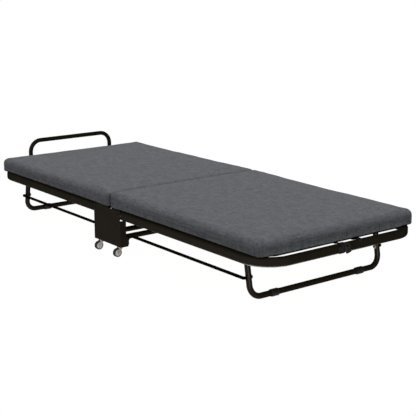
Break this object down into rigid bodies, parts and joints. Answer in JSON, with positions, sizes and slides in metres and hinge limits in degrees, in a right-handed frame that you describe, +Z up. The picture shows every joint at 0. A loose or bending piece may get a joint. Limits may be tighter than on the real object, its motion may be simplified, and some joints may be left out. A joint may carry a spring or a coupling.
{
  "type": "rollaway bed",
  "caption": "Folding rollaway bed with a split foam mattress, steel tube frame, folding legs and a castered centre unit.",
  "frame": {"origin": "on the floor, under the middle of the open bed", "axes": "+X along the bed towards the foot, -X towards the head bar, +Y across the bed, +Z up"},
  "size_m": [1.953, 0.8196, 0.323],
  "materials": {
    "frame_paint": "satin",
    "dark_fasteners": "satin",
    "bright_zinc": "satin",
    "caster_steel": "satin",
    "nylon": "matte",
    "black_plastic": "satin",
    "buckle_plastic": "gloss",
    "wheel_plastic": "satin",
    "tyre_rubber": "matte",
    "slat_wood": "satin",
    "mattress_fabric": "matte",
    "webbing": "matte"
  },
  "bodies": {
    "base": {"near_side_cover": "frame_paint", "far_side_cover": "frame_paint", "caster_plates": "frame_paint", "foot_side_centre_tube": "frame_paint", "head_side_centre_tube": "frame_paint", "hinge_posts": "frame_paint", "hinge_bolts": "dark_fasteners", "hinge_nuts": "dark_fasteners", "hinge_washers": "nylon", "rod_tabs": "frame_paint", "caster_bearing_cups": "bright_zinc"},
    "foot_frame": {"foot_frame_rail": "frame_paint", "foot_rail_plugs": "black_plastic", "foot_crossbars": "frame_paint", "foot_leg_ears": "frame_paint", "foot_leg_rivets": "dark_fasteners", "foot_slats": "slat_wood", "foot_slat_holders": "black_plastic", "foot_mattress": "mattress_fabric", "foot_mattress_fold_edge": "mattress_fabric", "foot_strap": "webbing", "foot_buckle": "buckle_plastic"},
    "foot_leg": {"foot_leg_tube": "frame_paint", "foot_leg_sleeves": "black_plastic"},
    "foot_rods": {"foot_near_rod": "frame_paint", "foot_far_rod": "frame_paint", "foot_push_nuts": "bright_zinc"},
    "head_frame": {"head_frame_rail": "frame_paint", "head_rail_plugs": "black_plastic", "head_crossbars": "frame_paint", "head_leg_ears": "frame_paint", "head_leg_rivets": "dark_fasteners", "head_slats": "slat_wood", "head_slat_holders": "black_plastic", "head_mattress": "mattress_fabric", "head_mattress_fold_edge": "mattress_fabric", "head_strap": "webbing", "head_buckle": "buckle_plastic", "head_bar": "frame_paint"},
    "head_leg": {"head_leg_tube": "frame_paint", "head_leg_sleeves": "black_plastic"},
    "head_rods": {"head_near_rod": "frame_paint", "head_far_rod": "frame_paint", "head_push_nuts": "bright_zinc"},
    "near_foot_fork": {"near_foot_caster_fork": "caster_steel", "near_foot_caster_axle": "caster_steel"},
    "near_foot_wheel": {"near_foot_caster_wheel": "wheel_plastic", "near_foot_caster_tyre": "tyre_rubber"},
    "far_foot_fork": {"far_foot_caster_fork": "caster_steel", "far_foot_caster_axle": "caster_steel"},
    "far_foot_wheel": {"far_foot_caster_wheel": "wheel_plastic", "far_foot_caster_tyre": "tyre_rubber"},
    "near_head_fork": {"near_head_caster_fork": "caster_steel", "near_head_caster_axle": "caster_steel"},
    "near_head_wheel": {"near_head_caster_wheel": "wheel_plastic", "near_head_caster_tyre": "tyre_rubber"},
    "far_head_fork": {"far_head_caster_fork": "caster_steel", "far_head_caster_axle": "caster_steel"},
    "far_head_wheel": {"far_head_caster_wheel": "wheel_plastic", "far_head_caster_tyre": "tyre_rubber"}
  },
  "joints": [
    {"name": "foot_fold", "type": "hinge", "parent": "base", "child": "foot_frame", "pos_m": [0.088, 0, 0.1735], "axis": [0, -1, 0], "range_deg": [0, 90], "deforming": ["foot_mattress_fold_edge"]},
    {"name": "foot_leg_swing", "type": "hinge", "parent": "foot_frame", "child": "foot_leg", "pos_m": [0.796, 0, 0.1735], "axis": [0, -1, 0], "range_deg": [-90, 0]},
    {"name": "foot_rods_swing", "type": "hinge", "parent": "base", "child": "foot_rods", "pos_m": [0.1031, 0, 0.0867], "axis": [0, -1, 0], "range_deg": [0, 90]},
    {"name": "head_fold", "type": "hinge", "parent": "base", "child": "head_frame", "pos_m": [-0.088, 0, 0.1735], "axis": [0, 1, 0], "range_deg": [0, 90], "deforming": ["head_mattress_fold_edge"]},
    {"name": "head_leg_swing", "type": "hinge", "parent": "head_frame", "child": "head_leg", "pos_m": [-0.796, 0, 0.1735], "axis": [0, 1, 0], "range_deg": [-90, 0]},
    {"name": "head_rods_swing", "type": "hinge", "parent": "base", "child": "head_rods", "pos_m": [-0.1031, 0, 0.0867], "axis": [0, 1, 0], "range_deg": [0, 90]},
    {"name": "near_foot_swivel", "type": "hinge", "parent": "base", "child": "near_foot_fork", "pos_m": [0.07, -0.376, 0.04], "axis": [0, 0, 1], "continuous": true},
    {"name": "near_foot_spin", "type": "hinge", "parent": "near_foot_fork", "child": "near_foot_wheel", "pos_m": [0.07, -0.392, 0.0178], "axis": [1, 0, 0], "continuous": true},
    {"name": "far_foot_swivel", "type": "hinge", "parent": "base", "child": "far_foot_fork", "pos_m": [0.07, 0.376, 0.04], "axis": [0, 0, 1], "continuous": true},
    {"name": "far_foot_spin", "type": "hinge", "parent": "far_foot_fork", "child": "far_foot_wheel", "pos_m": [0.07, 0.392, 0.0178], "axis": [1, 0, 0], "continuous": true},
    {"name": "near_head_swivel", "type": "hinge", "parent": "base", "child": "near_head_fork", "pos_m": [-0.07, -0.376, 0.04], "axis": [0, 0, 1], "continuous": true},
    {"name": "near_head_spin", "type": "hinge", "parent": "near_head_fork", "child": "near_head_wheel", "pos_m": [-0.07, -0.392, 0.0178], "axis": [1, 0, 0], "continuous": true},
    {"name": "far_head_swivel", "type": "hinge", "parent": "base", "child": "far_head_fork", "pos_m": [-0.07, 0.376, 0.04], "axis": [0, 0, 1], "continuous": true},
    {"name": "far_head_spin", "type": "hinge", "parent": "far_head_fork", "child": "far_head_wheel", "pos_m": [-0.07, 0.392, 0.0178], "axis": [1, 0, 0], "continuous": true}
  ],
  "couplings": [
    {"joint": "foot_leg_swing", "follows": "foot_fold", "ratio": -1},
    {"joint": "foot_rods_swing", "follows": "foot_fold", "ratio": 1},
    {"joint": "head_leg_swing", "follows": "head_fold", "ratio": -1},
    {"joint": "head_rods_swing", "follows": "head_fold", "ratio": 1}
  ]
}
